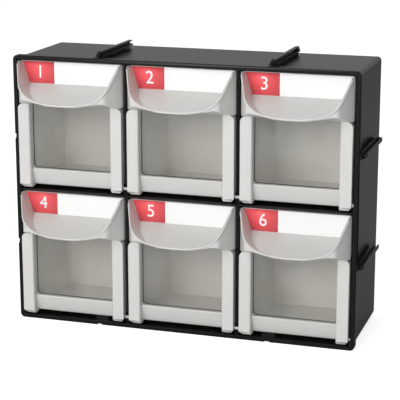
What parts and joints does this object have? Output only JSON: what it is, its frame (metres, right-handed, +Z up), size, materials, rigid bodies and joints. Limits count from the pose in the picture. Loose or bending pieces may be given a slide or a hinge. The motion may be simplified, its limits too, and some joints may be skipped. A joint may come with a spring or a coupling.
{
  "type": "tilt out bin unit",
  "caption": "Counter storage unit: a dark moulded case of cells, each with a grey bin with a finger scoop, label and clear window that tilts forward on pivot pins.",
  "frame": {"origin": "middle of the front rim's underside, on the plane that the case stands on", "axes": "+X across the front to the right, +Y from the front to the back, +Z up"},
  "size_m": [0.362, 0.1423, 0.283],
  "materials": {
    "case_plastic": "fine-grained black moulded styrene",
    "bin_plastic": "light grey moulded ABS, satin",
    "tub_plastic": "warm grey moulded ABS, satin",
    "window_clear": "clear polished styrene sheet",
    "label_card": "coated white card with a red field"
  },
  "bodies": {
    "case": {"case_shell": "case_plastic", "shelf": "case_plastic", "divider_left": "case_plastic", "divider_right": "case_plastic", "top_rail_left": "case_plastic", "top_rail_right": "case_plastic", "side_rail_lower": "case_plastic", "side_rail_upper": "case_plastic"},
    "bin_1": {"bin_1_front": "bin_plastic", "bin_1_window": "window_clear", "bin_1_label": "label_card", "bin_1_tub": "tub_plastic", "bin_1_pivot_pins": "bin_plastic"},
    "bin_2": {"bin_2_front": "bin_plastic", "bin_2_window": "window_clear", "bin_2_label": "label_card", "bin_2_tub": "tub_plastic", "bin_2_pivot_pins": "bin_plastic"},
    "bin_3": {"bin_3_front": "bin_plastic", "bin_3_window": "window_clear", "bin_3_label": "label_card", "bin_3_tub": "tub_plastic", "bin_3_pivot_pins": "bin_plastic"},
    "bin_4": {"bin_4_front": "bin_plastic", "bin_4_window": "window_clear", "bin_4_label": "label_card", "bin_4_tub": "tub_plastic", "bin_4_pivot_pins": "bin_plastic"},
    "bin_5": {"bin_5_front": "bin_plastic", "bin_5_window": "window_clear", "bin_5_label": "label_card", "bin_5_tub": "tub_plastic", "bin_5_pivot_pins": "bin_plastic"},
    "bin_6": {"bin_6_front": "bin_plastic", "bin_6_window": "window_clear", "bin_6_label": "label_card", "bin_6_tub": "tub_plastic", "bin_6_pivot_pins": "bin_plastic"}
  },
  "joints": [
    {"name": "bin_1_tilt", "type": "hinge", "parent": "case", "child": "bin_1", "pos_m": [-0.11653, -0.001, 0.14675], "axis": [1, 0, 0], "range_deg": [0, 40]},
    {"name": "bin_2_tilt", "type": "hinge", "parent": "case", "child": "bin_2", "pos_m": [0, -0.001, 0.14675], "axis": [1, 0, 0], "range_deg": [0, 40]},
    {"name": "bin_3_tilt", "type": "hinge", "parent": "case", "child": "bin_3", "pos_m": [0.11653, -0.001, 0.14675], "axis": [1, 0, 0], "range_deg": [0, 40]},
    {"name": "bin_4_tilt", "type": "hinge", "parent": "case", "child": "bin_4", "pos_m": [-0.11653, -0.001, 0.0113], "axis": [1, 0, 0], "range_deg": [0, 40]},
    {"name": "bin_5_tilt", "type": "hinge", "parent": "case", "child": "bin_5", "pos_m": [0, -0.001, 0.0113], "axis": [1, 0, 0], "range_deg": [0, 40]},
    {"name": "bin_6_tilt", "type": "hinge", "parent": "case", "child": "bin_6", "pos_m": [0.11653, -0.001, 0.0113], "axis": [1, 0, 0], "range_deg": [0, 40]}
  ]
}
